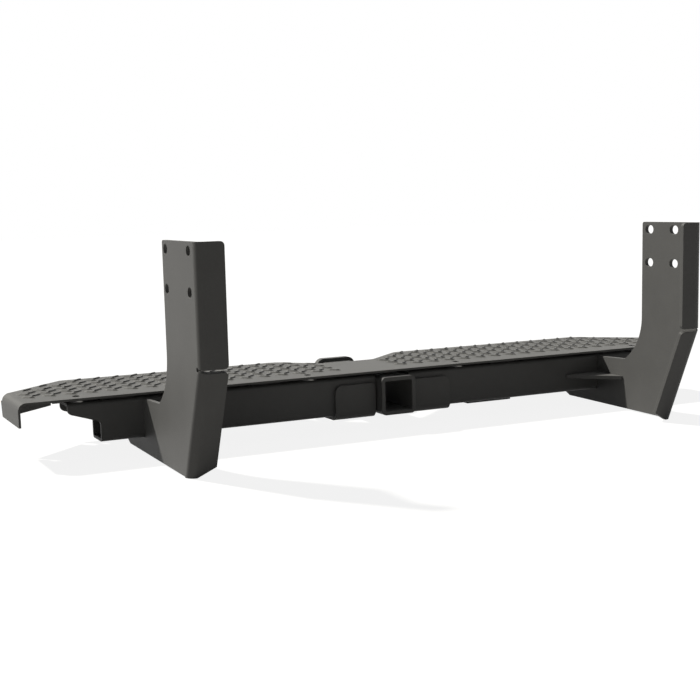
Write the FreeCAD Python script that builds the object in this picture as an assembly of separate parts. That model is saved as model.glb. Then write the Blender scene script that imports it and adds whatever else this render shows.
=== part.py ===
import FreeCAD, Part
import math
import os

from FreeCAD import Vector

os.makedirs("parts", exist_ok=True)

# A frame-mounted receiver hitch for a pickup, with a wide tread-plate step over its crossbar.
# Frame: the origin is the centre of the receiver's mouth, +Y runs out of the mouth to the rear of
# the vehicle, +Z is up and X runs across. Left is -X and right is +X, seen by looking along +Y.
# All sizes are in millimetres.

# Receiver tube, the band round its mouth, and the hitch-pin hole
receiver_bore = 50.8
receiver_wall = 6.35
receiver_length = 254.0
receiver_stub = 23.0
receiver_corner = 8.0
receiver_inner_corner = 2.0
collar_wall = 6.35
collar_length = 12.7
pin_hole_diameter = 16.6
pin_hole_to_mouth = 63.5

# Crossbar: two lengths of rectangular tube that butt against the sides of the receiver
bar_height = 63.5
bar_depth = 50.8
bar_wall = 4.8
bar_corner = 6.35
bar_rise = 2.4
bar_half_span = 500.0
arm_half_span = 549.5
arm_root_drop = 31.8
arm_tip_height = 16.2
arm_root_fillet = 8.0
arm_tip_round = 8.0

# Folded reinforcement plates over the joints between crossbar and receiver
plate_thickness = 6.35
plate_gap = 3.3
plate_width = 74.0
plate_top_setback = 12.0
plate_bottom_leg = 46.0
plate_outer_round = 12.0
plate_inner_round = 7.0

# Side brackets: folded plates that bolt to the vehicle's frame rails
bracket_span = 864.0
bracket_thickness = 6.35
bracket_bend = 13.4
flange_width = 40.6
upright_top = 275.7
upright_rear = 124.4
upright_front = 254.0
upright_corner = 4.0
slant_angle = 23.67
slant_top = 104.0
relief_radius = 3.4
fillet_radius = 89.0
fillet_top = 112.3
arm_front_top = 34.3
arm_rear_top = 31.2
tail_length = 46.0
tail_chamfer_run = 13.0
tail_chamfer_rise = 6.0
foot_front = 55.8
foot_rear = 52.3
flange_foot = 57.2
flange_foot_rise = 14.5
flange_corner = 6.0
bolt_slot_height = 14.3
bolt_slot_length_left = 16.5
bolt_slot_length_right = 20.3
bolt_column_setback_left = 139.0
bolt_column_setback_right = 142.5
bolt_row_centre = 235.0
bolt_row_spacing = 56.0
bolt_column_spacing_left = 97.0
bolt_column_spacing_right = 62.0

# Flat triangular gussets between the crossbar and the side brackets
gusset_thickness = 6.35
gusset_along_bar = 70.0
gusset_along_web = 73.0
gusset_tip = 3.0
gusset_top = 2.6

# Step deck: one folded tread plate
deck_thickness = 3.4
deck_gap = 4.5
deck_overhang = 8.2
deck_bend = 12.0
deck_flat_depth = 207.2
deck_half_length = 624.0
corner_half_span = 512.0
end_flange_depth = 119.0
end_flange_flare = 9.0
end_flange_rake = 7.0
end_flange_drop = 36.5
skirt_drop = 39.0
skirt_flare = 13.0
chamfer_skirt_inset = 17.0
skirt_clearance = 1.5
recess_mouth_left = 129.0
recess_mouth_right = 110.0
recess_floor_left = 64.0
recess_floor_right = 32.0
recess_depth = 66.0
recess_round = 22.0
deck_slot_width = 11.0
deck_slot_length = 15.0
deck_slot_setback = 24.5
deck_slot_to_end = 99.0
deck_slot_inner = 141.5
deck_slot_shift = -6.5

# Raised lugs of the tread plate
lug_pitch = 31.9
lug_length = 27.0
lug_width = 7.0
lug_waist = 11.0
lug_height = 2.0
lug_bevel = 2.0
tread_setback = 52.0
tread_first_lug = 598.0
tread_edge_margin = 1.5
tread_gap_left = -80.0
tread_gap_right = 30.0

# Ribs and spacer pads that carry the deck on the crossbar
rib_thickness = 6.35
rib_root = 20.0
rib_tip_height = 22.0
rib_corner = 9.6
rib_places = {"left_outer": -300.0, "left_inner": -146.0, "right_inner": 146.0, "right_outer": 300.0}
pad_inset = 30.0
pad_length = 50.0
pad_depth = 34.0
pad_setback = 9.0
pad_inner = 225.0

# Safety-chain plate under the receiver
chain_plate_thickness = 6.35
chain_plate_span = 184.0
chain_plate_depth = 52.0
chain_plate_to_mouth = 62.0
chain_plate_corner = 16.0
chain_hole_diameter = 28.0
chain_hole_offset = 62.0

# Wiring-socket bracket: folded plate under and behind the crossbar
socket_plate_thickness = 4.8
socket_plate_width = 89.0
socket_plate_start = 158.0
socket_plate_setback = 17.0
socket_plate_reach = 105.0
socket_plate_bend = 9.6
socket_plate_top = 22.0
socket_hole_diameter = 25.4
socket_hole_height = -11.3
socket_corner = 8.0

# How near two places or directions count as one, and how far a cutting shape stands past the metal
near = 0.01
cut_spare = 20.0

# Levels and stations that the pieces share
receiver_outer = receiver_bore + 2 * receiver_wall
receiver_half = receiver_outer / 2
bar_front = receiver_stub - receiver_length
bar_back = bar_front + bar_depth
bar_top = bar_rise + bar_height / 2
bar_bottom = bar_rise - bar_height / 2
deck_underside = bar_top + deck_gap
deck_top = deck_underside + deck_thickness
deck_front = bar_front - deck_overhang
deck_flat_back = deck_front + deck_flat_depth
deck_back = deck_flat_back + deck_bend
recess_front = deck_flat_back - recess_depth
deck_flat_end = deck_half_length - deck_bend
deck_end_back = deck_front + end_flange_depth
web_outer = bracket_span / 2
web_inner = web_outer - bracket_thickness
slant = math.tan(math.radians(slant_angle))


def polygon_face(points):
    """A flat face with straight sides through the points."""
    return Part.Face(Part.makePolygon(points + [points[0]]))


def plate(points, direction):
    """A straight-sided plate: a polygon pushed along a direction."""
    return polygon_face(points).extrude(direction)


def yz(x, pairs):
    """Points in the plane at x, from pairs of offset behind the bar's front face and height."""
    return [Vector(x, bar_front + back, height) for back, height in pairs]


def rounded_rectangle(width, height, radius):
    """A face in the XZ plane about the origin, with rounded corners."""
    depth = min(width, height) / 2
    block = Part.makeBox(width, depth, height, Vector(-width / 2, 0, -height / 2))
    upright = [edge for edge in block.Edges if abs(edge.Length - depth) < near]
    solid = block.makeFillet(radius, upright)
    return min(solid.Faces, key=lambda face: face.CenterOfMass.y)


def square_tube(width, height, wall, outer_radius, inner_radius, length):
    """A tube along +Y from the XZ plane, about the origin's axis."""
    outer = rounded_rectangle(width, height, outer_radius).extrude(Vector(0, length, 0))
    inner = rounded_rectangle(width - 2 * wall, height - 2 * wall, inner_radius)
    return outer.cut(inner.extrude(Vector(0, length, 0)))


def mirrored(shape):
    """The same piece for the other side of the vehicle."""
    return shape.mirror(Vector(0, 0, 0), Vector(1, 0, 0))


def rounded_corners(solid, direction, corners, radius):
    """Rounds the edges that run along a direction through the given corner points."""
    chosen = []
    for edge in solid.Edges:
        if not isinstance(edge.Curve, Part.Line):
            continue
        if abs(abs(edge.tangentAt(edge.FirstParameter).dot(direction)) - 1) > near:
            continue
        middle = edge.CenterOfMass
        for corner in corners:
            away = middle - corner
            if (away - direction * away.dot(direction)).Length < near:
                chosen.append(edge)
                break
    return solid.makeFillet(radius, chosen)


def slot_cutter(centre, across, along, width, length, depth):
    """A round-ended slot, cut on both sides of its centre along the axis across x along."""
    axis = across.cross(along)
    straight = length - width
    low = centre - axis * (depth / 2)
    ends = [low - along * (straight / 2), low + along * (straight / 2)]
    half = across * (width / 2)
    block = plate([ends[0] - half, ends[1] - half, ends[1] + half, ends[0] + half], axis * depth)
    rounds = [Part.makeCylinder(width / 2, depth, end, axis) for end in ends]
    return block.multiFuse(rounds)


# Receiver: a square tube through which the hitch pin passes sideways
def receiver_tube():
    tube = square_tube(receiver_outer, receiver_outer, receiver_wall, receiver_corner,
                       receiver_inner_corner, receiver_length)
    tube.translate(Vector(0, -receiver_length, 0))
    pin_start = Vector(-receiver_half - cut_spare, -pin_hole_to_mouth, 0)
    pin_way = Part.makeCylinder(pin_hole_diameter / 2, receiver_outer + 2 * cut_spare, pin_start,
                                Vector(1, 0, 0))
    return tube.cut(pin_way)


# Band welded round the mouth of the receiver
def receiver_collar():
    size = receiver_outer + 2 * collar_wall
    band = square_tube(size, size, collar_wall, receiver_corner + collar_wall,
                       receiver_corner, collar_length)
    band.translate(Vector(0, -collar_length, 0))
    return band


# One crossbar length: the lower half of the tube ends first and the upper half runs on as a
# tapered arm under the end of the deck
def crossbar_right():
    length = arm_half_span - receiver_half
    tube = square_tube(bar_depth, bar_height, bar_wall, bar_corner, bar_corner - bar_wall, length)
    tube.rotate(Vector(0, 0, 0), Vector(0, 0, 1), -90)
    tube.translate(Vector(receiver_half, bar_front + bar_depth / 2, bar_rise))
    root = bar_top - arm_root_drop
    tip = bar_top - arm_tip_height
    outside = arm_half_span + cut_spare
    below = bar_bottom - cut_spare
    above = bar_top + cut_spare
    front = bar_front - cut_spare
    corners = [Vector(bar_half_span, front, below), Vector(bar_half_span, front, root),
               Vector(arm_half_span, front, tip), Vector(arm_half_span, front, above),
               Vector(outside, front, above), Vector(outside, front, below)]
    away = plate(corners, Vector(0, bar_depth + 2 * cut_spare, 0))
    along = Vector(0, 1, 0)
    away = rounded_corners(away, along, [corners[1]], arm_root_fillet)
    away = rounded_corners(away, along, [corners[2]], arm_tip_round)
    return tube.cut(away)


# Reinforcement plate: stands on the bar's front face and is folded under its bottom
def reinforcement_plate_right():
    inner_x = receiver_half + plate_gap
    outer_x = inner_x + plate_width
    top = bar_top - plate_top_setback
    front = bar_front - plate_thickness
    under = bar_bottom - plate_thickness
    leg_end = bar_front + plate_bottom_leg
    turn = bar_corner + plate_thickness
    profile = plate([Vector(inner_x, front, top), Vector(inner_x, bar_front, top),
                     Vector(inner_x, bar_front, bar_bottom), Vector(inner_x, leg_end, bar_bottom),
                     Vector(inner_x, leg_end, under), Vector(inner_x, front, under)],
                    Vector(plate_width, 0, 0))
    across = Vector(1, 0, 0)
    profile = rounded_corners(profile, across, [Vector(inner_x, front, under)], turn)
    profile = rounded_corners(profile, across, [Vector(inner_x, bar_front, bar_bottom)], bar_corner)
    depth = Vector(0, 1, 0)
    profile = rounded_corners(profile, depth, [Vector(outer_x, front, top)], plate_outer_round)
    return rounded_corners(profile, depth, [Vector(inner_x, front, top)], plate_inner_round)


def bent_flange(fold_start, run, outward, length):
    """The bend and flange of a bracket: an L section pushed along its fold line."""
    inward = Vector(-1, 0, 0)
    centre = fold_start + inward * bracket_bend
    inner_bend = bracket_bend - bracket_thickness
    outer_mid = centre + (outward - inward) * (bracket_bend * math.sqrt(0.5))
    inner_mid = centre + (outward - inward) * (inner_bend * math.sqrt(0.5))
    outer_end = centre + outward * bracket_bend
    inner_end = centre + outward * inner_bend
    flat = inward * (flange_width - bracket_bend)
    web_edge = fold_start + inward * bracket_thickness
    edges = [Part.Arc(fold_start, outer_mid, outer_end).toShape(),
             Part.makeLine(outer_end, outer_end + flat),
             Part.makeLine(outer_end + flat, inner_end + flat),
             Part.makeLine(inner_end + flat, inner_end),
             Part.Arc(inner_end, inner_mid, web_edge).toShape(),
             Part.makeLine(web_edge, fold_start)]
    return Part.Face(Part.Wire(edges)).extrude(run * length)


# Side bracket: a folded plate with an upright web, an upper flange and a sloping lower flange
def side_bracket_right(column_setback, column_spacing, slot_length):
    fillet_y = fillet_radius - upright_rear
    fillet_turn = math.asin((fillet_top - arm_front_top) / fillet_radius)
    fillet_end = fillet_y - fillet_radius * math.cos(fillet_turn)
    half_turn = fillet_turn / 2
    fillet_mid = (fillet_y - fillet_radius * math.cos(half_turn),
                  fillet_top - fillet_radius * math.sin(half_turn))
    slant_foot = slant * (slant_top + foot_front) - upright_front
    tail = bar_depth + tail_length
    after_fillet = yz(web_inner, [
        (fillet_end, arm_front_top), (0, arm_rear_top), (0, bar_bottom), (bar_depth, bar_bottom),
        (bar_depth, deck_underside), (tail, deck_underside), (tail, tail_chamfer_rise - foot_rear),
        (tail - tail_chamfer_run, -foot_rear), (slant_foot, -foot_front),
        (-upright_front, slant_top), (-upright_front, upright_top),
        (-upright_rear, upright_top), (-upright_rear, fillet_top)])
    middle = yz(web_inner, [fillet_mid])[0]
    outline = [Part.makeLine(a, b) for a, b in zip(after_fillet, after_fillet[1:])]
    outline.append(Part.Arc(after_fillet[-1], middle, after_fillet[0]).toShape())
    web = Part.Face(Part.Wire(outline)).extrude(Vector(bracket_thickness, 0, 0))
    web = rounded_corners(web, Vector(1, 0, 0), yz(web_inner, [(-upright_rear, upright_top)]),
                          upright_corner)

    upper_start = yz(web_outer, [(-upright_front, slant_top)])[0]
    upper = bent_flange(upper_start, Vector(0, 0, 1), Vector(0, -1, 0), upright_top - slant_top)
    free_x = web_outer - flange_width
    front_y = bar_front - upright_front - bracket_bend
    upper = rounded_corners(upper, Vector(0, 1, 0),
                            [Vector(free_x, front_y, upright_top), Vector(free_x, front_y, slant_top)],
                            flange_corner)

    angle = math.radians(slant_angle)
    down = Vector(0, math.sin(angle), -math.cos(angle))
    out = Vector(0, -math.cos(angle), -math.sin(angle))
    slant_length = (slant_top + flange_foot) / math.cos(angle) + cut_spare
    lower = bent_flange(upper_start, down, out, slant_length)
    lower_corner = Vector(free_x, upper_start.y, upper_start.z) + out * bracket_bend
    lower = rounded_corners(lower, out, [lower_corner], flange_corner)
    room = upright_front + upright_top
    foot_low = -flange_foot
    foot_slope = flange_foot_rise / (flange_width - bracket_bend)
    past_free = free_x - cut_spare
    foot_high = foot_low + foot_slope * (web_outer - bracket_bend - past_free)
    before = front_y - cut_spare
    foot_corners = [Vector(web_outer + cut_spare, before, foot_low),
                    Vector(web_outer - bracket_bend, before, foot_low),
                    Vector(past_free, before, foot_high),
                    Vector(past_free, before, foot_low - room),
                    Vector(web_outer + cut_spare, before, foot_low - room)]
    lower = lower.cut(plate(foot_corners, Vector(0, room, 0)))

    bracket = web.multiFuse([upper, lower]).removeSplitter()
    relief_centre = Vector(web_inner - cut_spare, upper_start.y, slant_top)
    relief = Part.makeCylinder(relief_radius, bracket_thickness + 2 * cut_spare, relief_centre,
                               Vector(1, 0, 0))
    bracket = bracket.cut(relief)
    for column in (0, 1):
        for row in (-0.5, 0.5):
            hole = yz(web_inner + bracket_thickness / 2,
                      [(-column_setback - column * column_spacing,
                        bolt_row_centre + row * bolt_row_spacing)])[0]
            cutter = slot_cutter(hole, Vector(0, 0, 1), Vector(0, 1, 0), bolt_slot_height,
                                 slot_length, bracket_thickness + cut_spare)
            bracket = bracket.cut(cutter)
    return bracket


# Corner gusset: a flat triangle welded to the bar's front face and to the bracket's inner face
def corner_gusset_right():
    low = gusset_top - gusset_thickness
    bar_tip = web_inner - gusset_along_bar
    web_tip = bar_front - gusset_along_web
    corners = [Vector(web_inner, bar_front, low), Vector(bar_tip, bar_front, low),
               Vector(bar_tip, bar_front - gusset_tip, low),
               Vector(web_inner - gusset_tip, web_tip, low), Vector(web_inner, web_tip, low)]
    return plate(corners, Vector(0, 0, gusset_thickness))


def deck_fold(start, end, drop, flare_start, flare_end, rake_end):
    """A folded edge of the deck: the bend along an edge of the flat, with its skirt below.

    The skirt runs past the bend by a flare, and its far end rakes inwards to the bottom.
    """
    run = end - start
    along = Vector(run).normalize()
    out = Vector(along.y, -along.x, 0)
    centre = start - Vector(0, 0, deck_bend)
    inner_bend = deck_bend - deck_thickness
    diagonal = (out + Vector(0, 0, 1)) * math.sqrt(0.5)
    edges = [Part.Arc(start, centre + diagonal * deck_bend, centre + out * deck_bend).toShape(),
             Part.makeLine(centre + out * deck_bend, centre + out * inner_bend),
             Part.Arc(centre + out * inner_bend, centre + diagonal * inner_bend,
                      start - Vector(0, 0, deck_thickness)).toShape(),
             Part.makeLine(start - Vector(0, 0, deck_thickness), start)]
    bend = Part.Face(Part.Wire(edges)).extrude(run)
    skirt_from = centre - along * flare_start
    skirt_run = run + along * (flare_start + flare_end)
    hang = Vector(0, 0, deck_bend - drop)
    top = skirt_from + out * deck_bend
    corners = [top, top + skirt_run, top + skirt_run + hang - along * rake_end, top + hang]
    return [bend, plate(corners, out * -deck_thickness)]


def recess_edges(y):
    """Left and right edge of the deck's recess at y, as if it ran on in front of its floor."""
    share = min((y - recess_front) / recess_depth, 1.0)
    left = recess_floor_left + (recess_mouth_left - recess_floor_left) * share
    right = recess_floor_right + (recess_mouth_right - recess_floor_right) * share
    return -left, right


def lug_at(x, y, lean):
    """Base and top outlines of one raised lug: a long hexagon with bevelled sides."""
    along = Vector(math.sqrt(0.5), lean * math.sqrt(0.5), 0)
    across = Vector(-along.y, along.x, 0)
    centre = Vector(x, y, deck_top)

    def outline(inset, rise):
        share = 1 - 2 * inset / lug_width
        waist = along * (lug_waist / 2)
        tip = waist + along * ((lug_length - lug_waist) / 2 * share)
        side = across * (lug_width / 2 * share)
        lift = centre + Vector(0, 0, rise)
        return [lift + tip, lift + waist + side, lift - waist + side,
                lift - tip, lift - waist - side, lift + waist - side]

    return outline(0, 0), outline(lug_bevel, lug_height)


def on_flat(x, y):
    """Whether a point is on the flat top, a margin away from its folds and from the recess."""
    if abs(x) > deck_flat_end - tread_edge_margin or y > deck_flat_back - tread_edge_margin:
        return False
    corner_run = deck_flat_end - corner_half_span
    corner_rise = deck_flat_back - deck_end_back
    past = (abs(x) - corner_half_span) * corner_rise + (y - deck_flat_back) * corner_run
    if past / math.hypot(corner_run, corner_rise) > -tread_edge_margin:
        return False
    if y < recess_front - tread_edge_margin:
        return True
    left, right = recess_edges(y + tread_edge_margin)
    return x < left - tread_edge_margin or x > right + tread_edge_margin


def tread_has(x, outline):
    """Whether a lug is on the tread: off the plain strip and with all its corners on the flat."""
    if tread_gap_left < x < tread_gap_right:
        return False
    return all(on_flat(corner.x, corner.y) for corner in outline)


def tread_lugs():
    """Outlines of all lugs: rows that lean left and right by turns, each half a pitch over."""
    lugs = []
    row_step = lug_pitch / 2
    rows = int((deck_flat_back - tread_edge_margin - deck_front - tread_setback) / row_step) + 1
    columns = int(2 * deck_half_length / lug_pitch)
    for row in range(rows):
        y = deck_front + tread_setback + row * row_step
        lean = -1 if row % 2 == 0 else 1
        for column in range(columns):
            x = (column + (row % 2) / 2) * lug_pitch - tread_first_lug
            base, crown = lug_at(x, y, lean)
            if tread_has(x, base):
                lugs.append((base, crown))
    return lugs


# Step deck: flat top with cut corners and a recess over the receiver's mouth, skirts folded down
# along the back, the cut corners and the ends, four slots and the raised tread
def step_deck():
    level = Vector(0, 0, deck_top)
    side = [(corner_half_span, deck_flat_back), (deck_flat_end, deck_end_back),
            (deck_flat_end, deck_front)]
    recess = [(-recess_mouth_left, deck_flat_back), (-recess_floor_left, recess_front),
              (recess_floor_right, recess_front), (recess_mouth_right, deck_flat_back)]
    recess_points = [level + Vector(x, y, 0) for x, y in recess]
    points = recess_points + [level + Vector(x, y, 0) for x, y in side]
    points += [level + Vector(-x, y, 0) for x, y in reversed(side)]
    top = plate(points, Vector(0, 0, -deck_thickness))
    upright = Vector(0, 0, 1)
    for corner in recess_points:
        top = rounded_corners(top, upright, [corner], recess_round)

    back_end = level + Vector(corner_half_span, deck_flat_back, 0)
    corner_end = level + Vector(deck_flat_end, deck_end_back, 0)
    front_end = level + Vector(deck_flat_end, deck_front, 0)
    corner_folds = deck_fold(corner_end, back_end, skirt_drop, 0, -chamfer_skirt_inset, 0)
    corner_folds += deck_fold(front_end, corner_end, end_flange_drop, 0, end_flange_flare,
                              end_flange_rake)
    folds = corner_folds + [mirrored(piece) for piece in corner_folds]
    for mouth, floor, other_side in ((recess_mouth_left, recess_floor_left, True),
                                     (recess_mouth_right, recess_floor_right, False)):
        recess_turn = math.atan2(recess_depth, mouth - floor)
        round_run = recess_round * math.tan(recess_turn / 2)
        back_start = level + Vector(mouth + round_run + skirt_clearance, deck_flat_back, 0)
        back_folds = deck_fold(back_end, back_start, skirt_drop, skirt_flare, 0, 0)
        folds += [mirrored(piece) for piece in back_folds] if other_side else back_folds
    deck = top.multiFuse(folds).removeSplitter()
    slot_outer = deck_half_length - deck_slot_to_end
    for x in (-slot_outer, -deck_slot_inner, deck_slot_inner, slot_outer):
        place = Vector(x + deck_slot_shift, deck_front + deck_slot_setback,
                       deck_top - deck_thickness / 2)
        deck = deck.cut(slot_cutter(place, Vector(1, 0, 0), Vector(0, 1, 0), deck_slot_width,
                                    deck_slot_length, deck_thickness + cut_spare))

    upper_faces = [face for face in deck.Faces if abs(face.CenterOfMass.z - deck_top) < near]
    plain = max(upper_faces, key=lambda face: face.Area)
    others = [face for face in deck.Faces if not face.isSame(plain)]
    lugs = tread_lugs()
    holes = [Part.makePolygon(base + [base[0]]) for base, _ in lugs]
    others.append(Part.makeFace(list(plain.Wires) + holes, "Part::FaceMakerBullseye"))
    for base, crown in lugs:
        others.append(polygon_face(crown))
        for corner in range(len(base)):
            after = (corner + 1) % len(base)
            others.append(polygon_face([base[corner], base[after], crown[after], crown[corner]]))
    shell = Part.makeShell(others)
    shell.sewShape()
    solid = Part.makeSolid(Part.Shell(shell.Faces))
    if solid.Volume < 0:
        solid.reverse()
    return solid


# Deck rib: an upright plate behind the bar, under the deck and against its back skirt
def deck_rib(x):
    skirt_inner = deck_back - deck_thickness
    left = x - rib_thickness / 2
    low = bar_rise - rib_root
    corners = [(bar_back, low), (bar_back, deck_underside), (skirt_inner - rib_corner, deck_underside),
               (skirt_inner, deck_underside - rib_corner), (skirt_inner, deck_underside - rib_tip_height)]
    return plate([Vector(left, y, z) for y, z in corners], Vector(rib_thickness, 0, 0))


# Spacer pad: a flat bar between the crossbar's top and the deck
def deck_pad(x):
    corner = Vector(x - pad_length / 2, bar_front + pad_setback, bar_top)
    return Part.makeBox(pad_length, pad_depth, deck_gap, corner)


# Safety-chain plate: welded under the receiver, with a round eye on each side
def safety_chain_plate():
    back = -chain_plate_to_mouth
    front = back - chain_plate_depth
    half = chain_plate_span / 2
    under = -receiver_half - chain_plate_thickness
    corners = [Vector(-half, front, under), Vector(half, front, under),
               Vector(half, back, under), Vector(-half, back, under)]
    bar = plate(corners, Vector(0, 0, chain_plate_thickness))
    bar = rounded_corners(bar, Vector(0, 0, 1), corners, chain_plate_corner)
    for side in (-1, 1):
        place = Vector(side * chain_hole_offset, (front + back) / 2, under - cut_spare)
        hole_depth = chain_plate_thickness + 2 * cut_spare
        bar = bar.cut(Part.makeCylinder(chain_hole_diameter / 2, hole_depth, place))
    return bar


# Wiring-socket bracket: a plate welded under the bar and folded up behind it
def wiring_bracket():
    left = socket_plate_start
    front = bar_front + socket_plate_setback
    back = bar_front + socket_plate_reach
    under = bar_bottom - socket_plate_thickness
    inside = back - socket_plate_thickness
    profile = [(front, bar_bottom), (front, under), (back, under), (back, socket_plate_top),
               (inside, socket_plate_top), (inside, bar_bottom)]
    body = plate([Vector(left, y, z) for y, z in profile], Vector(socket_plate_width, 0, 0))
    across = Vector(1, 0, 0)
    body = rounded_corners(body, across, [Vector(left, back, under)], socket_plate_bend)
    body = rounded_corners(body, across, [Vector(left, inside, bar_bottom)],
                           socket_plate_bend - socket_plate_thickness)
    right = left + socket_plate_width
    tops = [Vector(left, back, socket_plate_top), Vector(right, back, socket_plate_top)]
    body = rounded_corners(body, Vector(0, 1, 0), tops, socket_corner)
    place = Vector((left + right) / 2, inside - cut_spare, socket_hole_height)
    hole = Part.makeCylinder(socket_hole_diameter / 2, socket_plate_thickness + 2 * cut_spare,
                             place, Vector(0, 1, 0))
    return body.cut(hole)


bar_right = crossbar_right()
plate_right = reinforcement_plate_right()
gusset_right = corner_gusset_right()
pieces = {
    "receiver_tube": receiver_tube(),
    "receiver_collar": receiver_collar(),
    "crossbar_left": mirrored(bar_right),
    "crossbar_right": bar_right,
    "reinforcement_plate_left": mirrored(plate_right),
    "reinforcement_plate_right": plate_right,
    "side_bracket_left": mirrored(side_bracket_right(
        bolt_column_setback_left, bolt_column_spacing_left, bolt_slot_length_left)),
    "side_bracket_right": side_bracket_right(
        bolt_column_setback_right, bolt_column_spacing_right, bolt_slot_length_right),
    "corner_gusset_left": mirrored(gusset_right),
    "corner_gusset_right": gusset_right,
    "safety_chain_plate": safety_chain_plate(),
    "wiring_bracket": wiring_bracket(),
    "step_deck": step_deck(),
}
for place, x in rib_places.items():
    pieces["deck_rib_" + place] = deck_rib(x)
pad_outer = bar_half_span - pad_inset
for place, x in (("left_outer", -pad_outer), ("left_inner", -pad_inner),
                 ("right_inner", pad_inner), ("right_outer", pad_outer)):
    pieces["deck_pad_" + place] = deck_pad(x)

for name, shape in pieces.items():
    shape.Solids[0].exportStep("parts/" + name + ".step")
    print(name, "valid", shape.isValid(), "solids", len(shape.Solids),
          "volume", round(shape.Volume), "faces", len(shape.Faces))
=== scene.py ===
import math

import bpy
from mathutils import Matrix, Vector


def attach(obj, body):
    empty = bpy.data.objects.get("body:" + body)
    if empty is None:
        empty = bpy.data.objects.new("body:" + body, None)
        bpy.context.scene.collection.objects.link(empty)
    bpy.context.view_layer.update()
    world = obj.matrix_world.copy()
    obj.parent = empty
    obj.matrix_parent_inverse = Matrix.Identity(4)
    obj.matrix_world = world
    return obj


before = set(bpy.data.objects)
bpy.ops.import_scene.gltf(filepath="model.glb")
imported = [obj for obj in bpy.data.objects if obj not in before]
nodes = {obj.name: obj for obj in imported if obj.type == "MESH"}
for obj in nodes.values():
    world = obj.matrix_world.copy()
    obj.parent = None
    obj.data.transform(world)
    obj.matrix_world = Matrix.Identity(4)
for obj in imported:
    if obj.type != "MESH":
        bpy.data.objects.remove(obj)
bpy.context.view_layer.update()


# Receiver tube.
# A length of 2.5 in square steel tube, open at both ends, with the hitch-pin hole through its
# sides. It is welded up bare and powder coated satin black with the whole hitch.
def new_node(tree, kind, settings=None, inputs=None):
    """A shader node with its settings and the values of its named or numbered inputs."""
    node = tree.nodes.new(kind)
    for name, value in (settings or {}).items():
        setattr(node, name, value)
    for name, value in (inputs or {}).items():
        node.inputs[name].default_value = value
    return node


def tinted(colour, share):
    """A colour made lighter or darker by a share, with its alpha."""
    return [channel * share for channel in colour] + [1]


def mixed(tree, share, first, second, name="mix"):
    """A colour mix from one socket's colour to a second, plain colour, by another socket's share."""
    mix = new_node(tree, "ShaderNodeMix", {"data_type": "RGBA", "name": name})
    mix_share, mix_first, mix_second = (mix.inputs[number] for number in (0, 6, 7))
    mix_second.default_value = second
    tree.links.new(share, mix_share)
    tree.links.new(first, mix_first)
    return mix.outputs[2]


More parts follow.
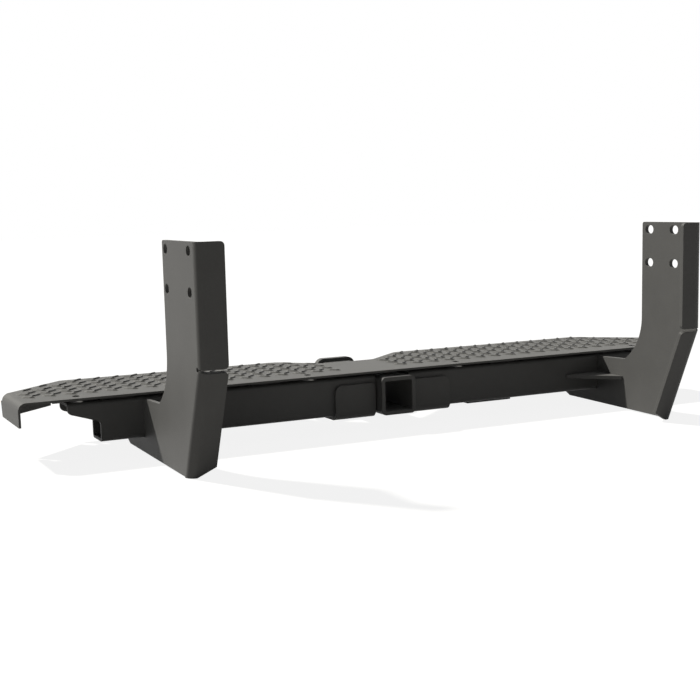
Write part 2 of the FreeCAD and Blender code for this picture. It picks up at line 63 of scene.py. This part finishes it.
def powder_coat(name, colour, roughness, dust, edge_radius, edge_wear_and_highlight):
    """Satin powder coat on steel: cloudy black, specks, dust, orange peel, and rounded edges painted
    lighter, partly as handling wear and partly as a painted edge highlight.
    """
    material = bpy.data.materials.new(name)
    material.use_nodes = True
    tree = material.node_tree
    tree.nodes.clear()
    link = tree.links.new
    output = new_node(tree, "ShaderNodeOutputMaterial")
    shader = new_node(tree, "ShaderNodeBsdfPrincipled", {"name": "coat"},
                      {"Specular IOR Level": 0.13, "IOR": 1.5})
    link(shader.outputs["BSDF"], output.inputs["Surface"])
    place = new_node(tree, "ShaderNodeTexCoord")
    shape = new_node(tree, "ShaderNodeNewGeometry")

    # The coat's thickness varies slowly, so its black is a little cloudy
    cloud_darkest = 0.93
    cloud_lightest = 1.07
    cloud = new_node(tree, "ShaderNodeTexNoise", None, {"Scale": 14.0, "Detail": 5.0, "Roughness": 0.6})
    link(place.outputs["Object"], cloud.inputs["Vector"])
    tint = new_node(tree, "ShaderNodeValToRGB")
    dark_end, light_end = tint.color_ramp.elements
    dark_end.position = 0.3
    dark_end.color = tinted(colour, cloud_darkest)
    light_end.position = 0.72
    light_end.color = tinted(colour, cloud_lightest)
    link(cloud.outputs["Fac"], tint.inputs["Fac"])

    # Fine pale specks of the powder's texturing agent
    speck_lightness = 1.5
    speck = new_node(tree, "ShaderNodeTexNoise", None, {"Scale": 900.0, "Detail": 2.0})
    link(place.outputs["Object"], speck.inputs["Vector"])
    speck_share = new_node(tree, "ShaderNodeMapRange", None,
                           {"From Min": 0.58, "From Max": 0.74, "To Max": 0.3})
    link(speck.outputs["Fac"], speck_share.inputs["Value"])
    specked = mixed(tree, speck_share.outputs["Result"], tint.outputs["Color"],
                    tinted(colour, speck_lightness))

    # Dust lies thinly on faces that look up
    dust_colour = (0.24, 0.235, 0.22, 1)
    facing = new_node(tree, "ShaderNodeSeparateXYZ")
    link(shape.outputs["Normal"], facing.inputs["Vector"])
    upward = new_node(tree, "ShaderNodeMapRange", None, {"From Min": 0.6, "From Max": 1.0, "To Max": dust})
    link(facing.outputs["Z"], upward.inputs["Value"])
    lying = new_node(tree, "ShaderNodeMath", {"operation": "MULTIPLY"})
    link(upward.outputs["Result"], lying.inputs[0])
    link(cloud.outputs["Fac"], lying.inputs[1])
    dusty = mixed(tree, lying.outputs["Value"], specked, dust_colour)

    # Sheared and sawn edges are a little rounded, and their colour is painted lighter: partly the rub of
    # handling, partly a painted highlight where light catches the rounding
    rub_and_highlight_lightness = 2.0
    rounded = new_node(tree, "ShaderNodeBevel", {"samples": 6}, {"Radius": edge_radius})
    alike = new_node(tree, "ShaderNodeVectorMath", {"operation": "DOT_PRODUCT"})
    link(rounded.outputs["Normal"], alike.inputs[0])
    link(shape.outputs["Normal"], alike.inputs[1])
    worn_and_highlit_edges = new_node(tree, "ShaderNodeMapRange", None,
                    {"From Min": 0.98, "From Max": 0.8, "To Min": 0.0, "To Max": edge_wear_and_highlight})
    link(alike.outputs["Value"], worn_and_highlit_edges.inputs["Value"])
    rubbed_and_highlit = mixed(tree, worn_and_highlit_edges.outputs["Result"], dusty, tinted(colour, rub_and_highlight_lightness), "rubbed_and_highlit")
    link(rubbed_and_highlit, shader.inputs["Base Color"])

    # The cloudier places are a little rougher
    smoother_by = 0.05
    rougher_by = 0.06
    gloss = new_node(tree, "ShaderNodeMapRange", {"name": "gloss"},
                     {"To Min": roughness - smoother_by, "To Max": roughness + rougher_by})
    link(cloud.outputs["Fac"], gloss.inputs["Value"])
    link(gloss.outputs["Result"], shader.inputs["Roughness"])

    # Orange peel
    peel = new_node(tree, "ShaderNodeTexNoise", None, {"Scale": 420.0, "Detail": 3.0})
    link(place.outputs["Object"], peel.inputs["Vector"])
    relief = new_node(tree, "ShaderNodeBump", None, {"Strength": 0.4, "Distance": 0.0002})
    link(peel.outputs["Fac"], relief.inputs["Height"])
    link(rounded.outputs["Normal"], relief.inputs["Normal"])
    link(relief.outputs["Normal"], shader.inputs["Normal"])
    return material


def dress(node, material):
    """Gives a carried-over node one material in every slot."""
    mesh = nodes[node].data
    if not mesh.materials:
        mesh.materials.append(material)
    for index in range(len(mesh.materials)):
        mesh.materials[index] = material


receiver_coat = powder_coat("receiver_coat", colour=(0.135, 0.135, 0.134), roughness=0.5, dust=0.1,
                            edge_radius=0.0026, edge_wear_and_highlight=0.25)
dress("receiver_tube", receiver_coat)


# Collar.
# A band of flat bar bent round the receiver's mouth and welded to it, so that the mouth doesn't
# spread under load. It is coated with the tube.
dress("receiver_collar", receiver_coat)


# Crossbar.
# Two lengths of 2.5 x 2 in rectangular tube, cut to a tapered arm at the outer end and welded to
# the sides of the receiver. The beads run behind the bar, where the photograph doesn't show them.
bead_pitch = 0.0016
bead_ripple = 0.09
bead_section = ((0.0, 0.0), (1.0, 0.0), (0.8, 0.42), (0.42, 0.8), (0.0, 1.0))
bead_steps_per_ripple = 4
bead_end_size = 0.55
bead_end_steepness = 6


def weld_beads(name, material, runs, size):
    """Rippled fillet beads along straight corners: each run is start, end and its two walls."""
    points = []
    faces = []
    count = len(bead_section)
    for run in runs:
        start, end, wall_a, wall_b = (Vector(part) for part in run)
        along = end - start
        steps = max(4, int(along.length / (bead_pitch / bead_steps_per_ripple)))
        turned = along.cross(wall_a).dot(wall_b) < 0
        first = len(points)
        for step in range(steps + 1):
            share = step / steps
            ripple = 1 + bead_ripple * math.sin(share * along.length / bead_pitch * 2 * math.pi)
            to_end = min(share, 1 - share) * along.length
            end_fade = min(1.0, bead_end_steepness * to_end / size + bead_end_size)
            reach = size * ripple * end_fade
            for a, b in bead_section:
                points.append(start + along * share + wall_a * (a * reach) + wall_b * (b * reach))
        for step in range(steps):
            for corner in range(count):
                low = first + step * count
                after = (corner + 1) % count
                quad = [low + corner, low + after, low + count + after, low + count + corner]
                faces.append(quad if turned else quad[::-1])
        cap = list(range(first, first + count))
        last = list(range(len(points) - count, len(points)))
        faces.append(cap[::-1] if turned else cap)
        faces.append(last if turned else last[::-1])
    mesh = bpy.data.meshes.new(name)
    mesh.from_pydata(points, [], faces)
    mesh.materials.append(material)
    mesh.shade_smooth()
    beads = bpy.data.objects.new(name, mesh)
    bpy.context.scene.collection.objects.link(beads)
    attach(beads, "root")


bar_coat = powder_coat("bar_coat", colour=(0.13, 0.13, 0.1295), roughness=0.52, dust=0.1,
                       edge_radius=0.0009, edge_wear_and_highlight=0.25)
dress("crossbar_left", bar_coat)
dress("crossbar_right", bar_coat)
rearward = (0, 1, 0)
bar_back = -0.1802
bar_flat_low = -0.0229
bar_flat_high = 0.0277
receiver_side = 0.03175
receiver_flat = 0.0235
bar_bead_size = 0.0045
weld_beads("receiver_welds", bar_coat, [
    ((side * receiver_side, bar_back, bar_flat_low),
     (side * receiver_side, bar_back, receiver_flat), (side, 0, 0), rearward)
    for side in (-1, 1)], bar_bead_size)


# Reinforcement plates.
# Quarter-inch steel plates folded under the bar beside the receiver. Each is welded to the bar
# along the back edge of its bottom leg.
plate_coat = powder_coat("plate_coat", colour=(0.134, 0.134, 0.133), roughness=0.52, dust=0.1,
                         edge_radius=0.0012, edge_wear_and_highlight=0.25)
dress("reinforcement_plate_left", plate_coat)
dress("reinforcement_plate_right", plate_coat)
downward = (0, 0, -1)
up_the_bar_corner = (0, 0.83, 0.56)
bar_under = -0.02935
plate_back = -0.185
plate_weld_inner = 0.043
plate_weld_outer = 0.096
plate_bead_size = 0.004
weld_beads("plate_welds", plate_coat, [
    ((side * plate_weld_inner, plate_back, bar_under),
     (side * plate_weld_outer, plate_back, bar_under), up_the_bar_corner, downward)
    for side in (-1, 1)], plate_bead_size)


# Side brackets and their gussets.
# Quarter-inch steel plate, laser cut and folded on a press brake. The webs are welded to the back
# of the bar, and the flat gussets stand in the corners before it.
bracket_coat = powder_coat("bracket_coat", colour=(0.136, 0.1355, 0.134), roughness=0.52, dust=0.08,
                           edge_radius=0.0009, edge_wear_and_highlight=0.3)
for side_name in ("left", "right"):
    dress("side_bracket_" + side_name, bracket_coat)
    dress("corner_gusset_" + side_name, bracket_coat)
web_inner = 0.42565
weld_beads("bracket_welds", bracket_coat, [
    ((side * web_inner, bar_back, bar_flat_low),
     (side * web_inner, bar_back, bar_flat_high), (-side, 0, 0), rearward)
    for side in (-1, 1)], bar_bead_size)


# Ribs and pads.
# Flat pieces of steel plate and bar between the crossbar and the deck. Each rib is welded to the
# bar's back on both sides.
rib_coat = powder_coat("rib_coat", colour=(0.116, 0.116, 0.115), roughness=0.54, dust=0.1,
                       edge_radius=0.0008, edge_wear_and_highlight=0.25)
for rib_place in ("left_outer", "left_inner", "right_inner", "right_outer"):
    dress("deck_rib_" + rib_place, rib_coat)
    dress("deck_pad_" + rib_place, rib_coat)
rib_middles = (-0.3, -0.146, 0.146, 0.3)
rib_side = 0.003175
rib_low = -0.0170
rib_bead_size = 0.004
weld_beads("rib_welds", rib_coat, [
    ((middle + side * rib_side, bar_back, rib_low),
     (middle + side * rib_side, bar_back, bar_flat_high), (side, 0, 0), rearward)
    for middle in rib_middles for side in (-1, 1)], rib_bead_size)


# Step deck.
# One sheet of steel tread plate, rolled with raised lugs, laser cut, folded down along its edges
# and coated with the rest. Shoes rub the crowns of the lugs paler and smoother.
deck_coat = powder_coat("deck_coat", colour=(0.132, 0.1315, 0.129), roughness=0.54, dust=0.16,
                        edge_radius=0.0014, edge_wear_and_highlight=0.3)
dress("step_deck", deck_coat)
crown_low = 0.0434
crown_high = 0.0440
crown_rub_most = 0.5
crown_colour = (0.22, 0.217, 0.21, 1)
crown_roughness_change = -0.25
tree = deck_coat.node_tree
link = tree.links.new
shader = tree.nodes["coat"]
spot = new_node(tree, "ShaderNodeNewGeometry")
height = new_node(tree, "ShaderNodeSeparateXYZ")
link(spot.outputs["Position"], height.inputs["Vector"])
crown = new_node(tree, "ShaderNodeMapRange", None,
                 {"From Min": crown_low, "From Max": crown_high, "To Max": crown_rub_most})
link(height.outputs["Z"], crown.inputs["Value"])
scuff = new_node(tree, "ShaderNodeTexNoise", None, {"Scale": 60.0, "Detail": 4.0})
crown_rub = new_node(tree, "ShaderNodeMath", {"operation": "MULTIPLY"})
link(crown.outputs["Result"], crown_rub.inputs[0])
link(scuff.outputs["Fac"], crown_rub.inputs[1])
# The paler crowns go over the coat, whose edges carry the wear and the painted edge highlight
paler = mixed(tree, crown_rub.outputs["Value"], tree.nodes["rubbed_and_highlit"].outputs[2], crown_colour)
link(paler, shader.inputs["Base Color"])
smoother = new_node(tree, "ShaderNodeMath", {"operation": "MULTIPLY_ADD"}, {1: crown_roughness_change})
link(crown_rub.outputs["Value"], smoother.inputs[0])
link(tree.nodes["gloss"].outputs["Result"], smoother.inputs[2])
link(smoother.outputs["Value"], shader.inputs["Roughness"])


# Safety-chain plate and wiring bracket.
# A steel plate with two eyes welded under the receiver, and a folded plate welded under the bar
# with a hole for the trailer lead. They are coated like the reinforcement plates.
dress("safety_chain_plate", plate_coat)
dress("wiring_bracket", plate_coat)
receiver_under = -0.03175
chain_plate_rear = -0.062
chain_plate_front = -0.114
weld_beads("chain_plate_welds", plate_coat, [
    ((-receiver_flat, edge, receiver_under),
     (receiver_flat, edge, receiver_under), (0, outward, 0), downward)
    for edge, outward in ((chain_plate_rear, 1), (chain_plate_front, -1))], plate_bead_size)
bracket_left_edge = 0.158
bracket_right_edge = 0.247
bracket_weld_front = -0.206
bracket_weld_rear = -0.187
bracket_bead_size = 0.0035
weld_beads("wiring_bracket_welds", plate_coat, [
    ((edge, bracket_weld_front, bar_under),
     (edge, bracket_weld_rear, bar_under), (outward, 0, 0), downward)
    for edge, outward in ((bracket_left_edge, -1), (bracket_right_edge, 1))], bracket_bead_size)


# Floor.
# A plain sheet on which the brackets' feet stand. It is white to the camera and keeps the hitch's
# shadow, and it throws only a little light back on the hitch.
def background_rays(tree):
    """A socket that is 1 for rays from the camera, off glossy surfaces and through clear ones."""
    ray = new_node(tree, "ShaderNodeLightPath")
    direct = new_node(tree, "ShaderNodeMath", {"operation": "MAXIMUM"})
    tree.links.new(ray.outputs["Is Camera Ray"], direct.inputs[0])
    tree.links.new(ray.outputs["Is Glossy Ray"], direct.inputs[1])
    clear = new_node(tree, "ShaderNodeMath", {"operation": "MAXIMUM"})
    tree.links.new(direct.outputs["Value"], clear.inputs[0])
    tree.links.new(ray.outputs["Is Transmission Ray"], clear.inputs[1])
    return clear.outputs["Value"]


floor_height = -0.0577
floor_reach = 12.0
floor_mesh = bpy.data.meshes.new("floor")
floor_corners = [(x * floor_reach, y * floor_reach, floor_height)
                 for x, y in ((-1, -1), (1, -1), (1, 1), (-1, 1))]
floor_mesh.from_pydata(floor_corners, [], [(0, 1, 2, 3)])
floor = bpy.data.objects.new("floor", floor_mesh)
bpy.context.scene.collection.objects.link(floor)
floor_white = bpy.data.materials.new("floor_white")
floor_white.use_nodes = True
tree = floor_white.node_tree
tree.nodes.clear()
link = tree.links.new
output = new_node(tree, "ShaderNodeOutputMaterial")
matt = new_node(tree, "ShaderNodeBsdfDiffuse", None, {"Color": (0.36, 0.36, 0.36, 1)})
glow = new_node(tree, "ShaderNodeEmission", None, {"Strength": 0.87})
shade = new_node(tree, "ShaderNodeBsdfDiffuse", None, {"Color": (0.2, 0.2, 0.2, 1)})
seen = new_node(tree, "ShaderNodeAddShader")
link(glow.outputs["Emission"], seen.inputs[0])
link(shade.outputs["BSDF"], seen.inputs[1])
blend = new_node(tree, "ShaderNodeMixShader")
link(background_rays(tree), blend.inputs["Fac"])
link(matt.outputs["BSDF"], blend.inputs[1])
link(seen.outputs["Shader"], blend.inputs[2])
link(blend.outputs["Shader"], output.inputs["Surface"])
floor_mesh.materials.append(floor_white)


# Studio light.
# A dim plain room with one hard lamp, a little warm, high behind the hitch on its left. It lights
# the deck and the left faces of the brackets and throws the deck's crisp shadow on their webs.
world = bpy.data.worlds.new("studio")
bpy.context.scene.world = world
world.use_nodes = True
tree = world.node_tree
tree.nodes.clear()
link = tree.links.new
output = new_node(tree, "ShaderNodeOutputWorld")
room = new_node(tree, "ShaderNodeBackground", None, {"Color": (1, 1, 1, 1), "Strength": 0.06})
white = new_node(tree, "ShaderNodeBackground", None, {"Color": (1, 1, 1, 1), "Strength": 1.0})
blend = new_node(tree, "ShaderNodeMixShader")
link(background_rays(tree), blend.inputs["Fac"])
link(room.outputs["Background"], blend.inputs[1])
link(white.outputs["Background"], blend.inputs[2])
link(blend.outputs["Shader"], output.inputs["Surface"])

key_data = bpy.data.lights.new("key_lamp", "SUN")
key_data.energy = 4.1
key_data.color = (1.0, 0.975, 0.9)
key_data.angle = math.radians(3.0)
key_lamp = bpy.data.objects.new("key_lamp", key_data)
key_way = Vector((0.6, -0.81, -1.0))
key_lamp.rotation_euler = key_way.to_track_quat("-Z", "Y").to_euler()
bpy.context.scene.collection.objects.link(key_lamp)


# Camera.
# It stands low at the hitch's front left, where the photograph was taken, with the same lens and
# framing.
view_data = bpy.data.cameras.new("camera")
view_data.sensor_width = 36.0
view_data.lens = 64.584
view_data.shift_x = 0.00081
view_data.shift_y = 0.03494
view_data.clip_end = 60.0
camera = bpy.data.objects.new("camera", view_data)
camera.location = (-0.98497, -2.07685, 0.32925)
camera.rotation_euler = [math.radians(angle) for angle in (81.9664, 1.3552, -26.3121)]
bpy.context.scene.collection.objects.link(camera)
bpy.context.scene.camera = camera
bpy.context.scene.view_settings.view_transform = "Standard"
